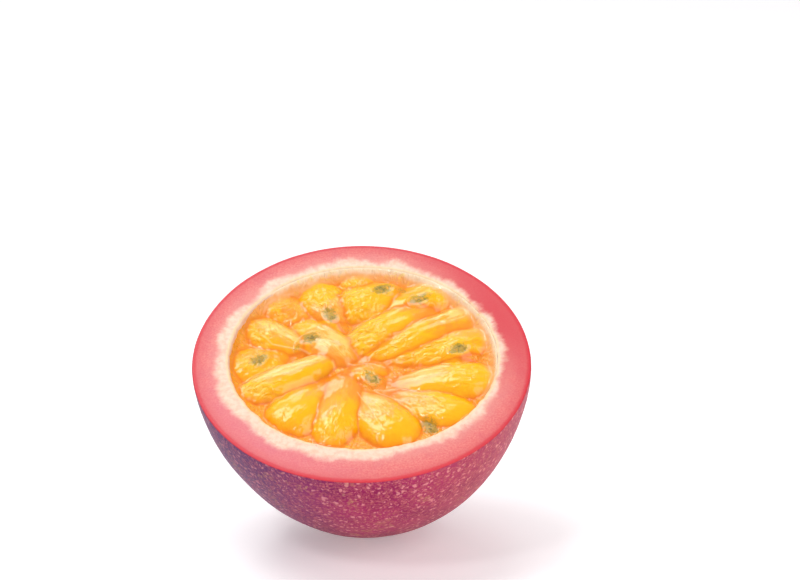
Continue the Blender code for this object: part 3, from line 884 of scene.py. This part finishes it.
def seed_tint(g, place, shade, base):
    """The olive shade of a seed, broken up into streaks, over the colour of the film around it."""
    streaks = g.swing(place, 1.3, 5, 0.7, 0.6)
    dark = g.plus(shade, g.times(streaks, g.times(shade, 3.8)))
    base = g.mix(g.spread(dark, 0.25, 0.85, 0.0, 0.75), base, colour(154, 136, 40))
    return g.mix(g.spread(dark, 0.85, 1.45, 0.0, 0.75), base, colour(80, 80, 30))


def sac_fibres(g):
    """Long fibres along each sac, from -0.5 to 0.5."""
    return g.swing(g.vector("sac_place", (0.45, 2.0, 1.0)), 1.1, 4, 0.65, 0.8)


def pulp_material():
    g = Graph("pulp_juice_sacs")
    place, sac = g.vector("place"), g.vector("sac_place")
    crease_shade, gold, film_and_sheen, wet = (g.value(name) for name in ("crease_shade", "gold", "film_and_sheen", "wet"))
    shade, wall, thread = g.value("shade"), g.value("from_wall"), g.value("thread")
    settled, lining = g.value("settled"), g.value("lining")

    cloud = g.swing(place, 0.5, 4, 0.6)
    fibres = g.times(sac_fibres(g), settled)
    streaks = g.swing(g.vector("sac_place", (0.6, 1.5, 1.0)), 0.9, 5, 0.75, 0.8)
    streaks = g.times(streaks, settled)
    golden = g.plus(gold, g.times(g.plus(cloud, g.times(fibres, 0.5)), 0.9))
    base = g.mix(g.spread(golden, 0.2, 0.55), colour(247, 155, 36), colour(254, 184, 0))
    base = g.mix(g.times(g.spread(fibres, 0.05, 0.25), 0.2), base, colour(255, 204, 80))
    # Peach and cream where the pale film lies: partly the membrane's own colour, partly a painted reflection
    # of the lights
    feather = g.plus(g.times(streaks, 1.6), g.plus(cloud, g.times(fibres, 0.6)))
    film = g.plus(film_and_sheen, g.times(feather, g.times(g.plus(film_and_sheen, 0.15), 1.5)))
    base = g.mix(g.spread(film, 0.1, 0.55, 0.0, 0.8), base, colour(250, 170, 66))
    base = g.mix(g.spread(film, 0.5, 1.05, 0.0, 0.85), base, colour(252, 209, 120))
    # Painted shade: deeper orange in the creases between the sacs
    painted_crease_shade = g.plus(g.times(crease_shade, 0.9), g.times(cloud, 0.4))
    base = g.mix(g.spread(painted_crease_shade, 0.2, 0.95, 0.0, 0.85), base, colour(232, 122, 0))
    lined = g.plus(lining, g.times(cloud, 0.35))
    base = g.mix(g.spread(lined, 0.08, 0.4, 0.0, 0.9), base, colour(250, 178, 104))
    base = g.mix(g.spread(lined, 0.4, 0.75), base, colour(250, 224, 190))
    # Pale yellow streaks on the wet crinkles: partly the membrane's own colour, partly painted glints
    wrinkles_and_glints = g.times(g.spread(streaks, 0.02, 0.14), wet)
    wrinkles_and_glints = g.times(wrinkles_and_glints, g.spread(crease_shade, 0.7, 0.2))
    base = g.mix(g.times(wrinkles_and_glints, 0.7), base, colour(255, 222, 80))
    base = g.mix(g.times(thread, 0.45), base, colour(255, 226, 176))
    base = seed_tint(g, place, shade, base)

    crinkles = g.swing(sac, 1.1, 1.5, 0.5, 0.8)
    crinkles = g.times(crinkles, settled)
    normal = g.bump(fibres, 0.03, 0.5)
    normal = g.bump(crinkles, 0.04, 0.4, normal)
    normal = g.bump(g.times(crinkles, wet), 0.6, 1.0, normal)
    normal = g.bump(g.times(streaks, wet), 0.03, 0.8, normal)
    g.shade(Base_Color=base, Normal=normal, Roughness=0.3, Specular_IOR_Level=0.1)
    g.shade(Subsurface_Weight=g.spread(wall, 0.3, 2.4, 0.0, 0.7))
    g.shade(Subsurface_Radius=(1.0, 0.5, 0.06), Subsurface_Scale=0.9 * MM)
    g.shade(Coat_Weight=1.0, Coat_Roughness=0.03, Coat_IOR=1.45, Coat_Normal=normal)
    return g.material


def seed_material():
    made = bpy.data.materials.get("seed_skin")
    if made:
        return made
    g = Graph("seed_skin")
    place = g.vector("place")
    base = seed_tint(g, place, g.value("shade"), colour(250, 172, 60))
    streaks = g.noise(place, 1.6, 5, 0.7, 0.5)
    g.shade(Base_Color=base, Normal=g.bump(streaks, 0.2, 0.8), Roughness=0.4, Specular_IOR_Level=0.2)
    g.shade(Subsurface_Weight=0.3, Subsurface_Radius=(1.0, 0.6, 0.2), Subsurface_Scale=0.6 * MM)
    g.shade(Coat_Weight=0.3, Coat_Roughness=0.08)
    return g.material


# The studio

def make_floor():
    mesh = bpy.data.meshes.new("floor")
    reach = FLOOR_REACH
    corners = [(-reach, -reach, 0), (reach, -reach, 0), (reach, reach, 0), (-reach, reach, 0)]
    mesh.from_pydata(corners, [], [(0, 1, 2, 3)])
    floor = bpy.data.objects.new("floor", mesh)
    bpy.context.scene.collection.objects.link(floor)
    g = Graph("floor_white")
    g.shade(Base_Color=(0.84, 0.83, 0.84, 1.0), Roughness=0.4)
    g.shade(Emission_Color=(1.0, 0.98, 0.985, 1.0), Emission_Strength=0.30)
    mesh.materials.append(g.material)


def make_light(name, direction, distance, size, radiance):
    """A rectangular soft light that shines on the fruit from this direction."""
    light = bpy.data.lights.new(name, "AREA")
    light.shape = "RECTANGLE"
    light.size, light.size_y = size
    light.energy = radiance * math.pi * size[0] * size[1]
    made = bpy.data.objects.new(name, light)
    away = Vector(direction).normalized()
    made.location = away * distance + Vector((0, 0, LIGHT_AIM_HEIGHT))
    made.rotation_euler = away.to_track_quat("Z", "Y").to_euler()
    bpy.context.scene.collection.objects.link(made)


def make_world():
    world = bpy.data.worlds.new("studio")
    world.use_nodes = True
    background = world.node_tree.nodes["Background"]
    background.inputs["Color"].default_value = (1.0, 0.99, 1.0, 1.0)
    background.inputs["Strength"].default_value = WORLD_STRENGTH
    bpy.context.scene.world = world


def make_camera():
    """The camera looks down by VIEW_DOWN at the rim's centre, which shows at its pixel of the photograph."""
    focal = FOCAL_MM / SENSOR_MM * IMAGE_WIDTH
    right_of_middle = math.atan((RIM_CENTRE_PIXEL[0] - IMAGE_WIDTH / 2) / focal)
    below_middle = math.atan((RIM_CENTRE_PIXEL[1] - IMAGE_HEIGHT / 2) / focal)
    data = bpy.data.cameras.new("camera")
    data.lens, data.sensor_width, data.sensor_fit = FOCAL_MM, SENSOR_MM, "HORIZONTAL"
    data.clip_start, data.clip_end = 0.01, 20.0
    camera = bpy.data.objects.new("camera", data)
    bpy.context.scene.collection.objects.link(camera)
    turn = Matrix.Rotation(right_of_middle, 4, "Z")
    tilt = Matrix.Rotation(math.pi / 2 - (VIEW_DOWN - below_middle), 4, "X")
    look = turn @ tilt
    ray = look.to_3x3() @ Vector(
        (RIM_CENTRE_PIXEL[0] - IMAGE_WIDTH / 2, IMAGE_HEIGHT / 2 - RIM_CENTRE_PIXEL[1], -focal)
    )
    centre = fruit_frame().translation
    camera.matrix_world = Matrix.Translation(centre - ray.normalized() * CAMERA_DISTANCE) @ look
    bpy.context.scene.camera = camera


def main():
    make_rind()
    make_pulp()
    for name, (place, heading) in SEEDS.items():
        make_seed(name, place, heading)
    make_floor()
    make_world()
    for light in LIGHTS:
        make_light(*light)
    make_camera()
    bpy.context.scene.view_settings.view_transform = "Standard"


main()
